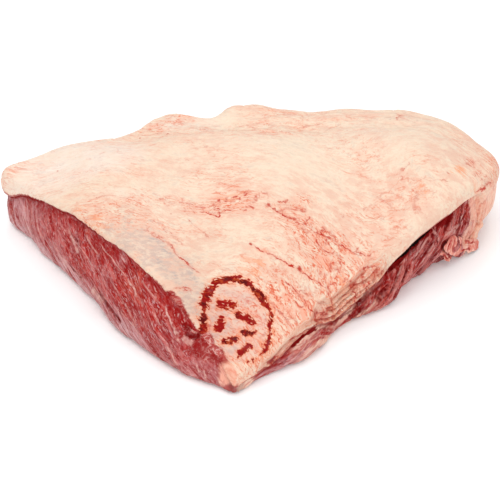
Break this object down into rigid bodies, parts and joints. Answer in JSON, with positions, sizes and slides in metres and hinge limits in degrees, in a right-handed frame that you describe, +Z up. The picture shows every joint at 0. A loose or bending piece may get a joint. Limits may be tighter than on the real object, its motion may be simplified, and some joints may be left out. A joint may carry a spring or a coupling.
{
  "type": "raw picanha",
  "caption": "Whole raw beef rump cap lying on its lean side: a wedge of red muscle under a draped blanket of pale fat, with a pointed near tip and a torn right end.",
  "frame": {"origin": "middle of the bounding box, on the flat underside", "axes": "+Z up out of the fat cap, +X along the long side towards the thick torn end, -Y towards the near tip"},
  "size_m": [0.287, 0.194, 0.0573],
  "materials": {
    "lean": "moist raw muscle",
    "fat": "soft, slightly moist fat"
  },
  "bodies": {
    "root": {"lean_muscle": "lean", "fat_cap": "fat"}
  },
  "joints": []
}
